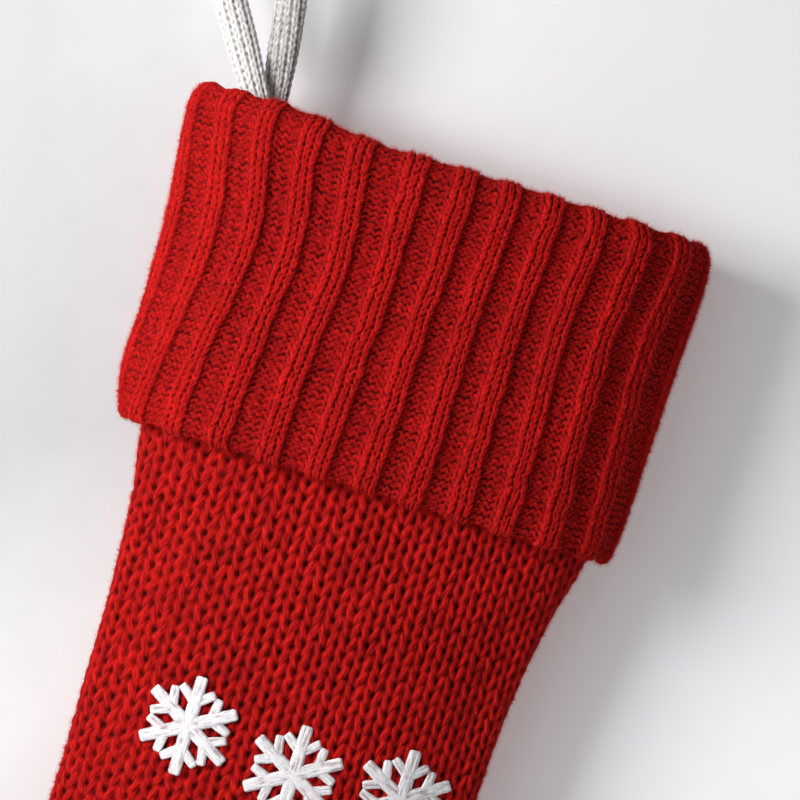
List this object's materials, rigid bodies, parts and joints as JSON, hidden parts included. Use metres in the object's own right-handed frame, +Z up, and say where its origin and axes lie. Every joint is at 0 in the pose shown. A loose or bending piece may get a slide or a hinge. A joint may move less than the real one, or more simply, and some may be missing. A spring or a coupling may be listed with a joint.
{
  "type": "hanging stocking",
  "caption": "Red knitted hanging stocking with a folded rib cuff, a white knitted cord loop, embroidered snowflakes and a lining.",
  "frame": {"origin": "the point inside the top of the cord loop that bears on a hook", "axes": "+Z up as it hangs, +X to the right of a viewer who faces the front, front towards -Y"},
  "size_m": [0.3281, 0.043, 0.6253],
  "materials": {
    "chunky_knit": "chunky stockinette in fuzzy wool-like yarn, matt",
    "rib_knit": "wide rib knit in fuzzy yarn, matt",
    "seam_yarn": "linking yarn, matt",
    "cord_knit": "off-white knitted tube, brushed, matt",
    "cord_thread": "sewing thread",
    "embroidery_thread": "white fill-stitch embroidery, slight sheen",
    "lining_cloth": "plain woven lining, matt",
    "backing_felt": "thin pressed stabiliser sheet",
    "label_tape": "blank woven tape"
  },
  "bodies": {
    "loop": {"hanging_loop": "cord_knit"},
    "tack": {"loop_tack_thread": "cord_thread"},
    "stocking": {"ribbed_cuff": "rib_knit", "leg_front_panel": "chunky_knit", "leg_back_panel": "chunky_knit", "side_seam": "seam_yarn", "cuff_joint_seam": "seam_yarn", "lining_front_panel": "lining_cloth", "lining_back_panel": "lining_cloth", "snowflake_left": "embroidery_thread", "snowflake_centre": "embroidery_thread", "snowflake_right": "embroidery_thread", "embroidery_backing": "backing_felt", "loop_bar_tack": "seam_yarn", "care_label": "label_tape"}
  },
  "joints": [
    {"name": "loop_swing_side", "type": "hinge", "parent": "loop", "child": "tack", "pos_m": [0.00345, 0, -0.08959], "axis": [0, 1, 0], "range_deg": [-45, 14]},
    {"name": "loop_swing_fore_aft", "type": "hinge", "parent": "tack", "child": "stocking", "pos_m": [0.00345, 0, -0.08959], "axis": [1, 0, 0], "range_deg": [-15, 1]}
  ]
}
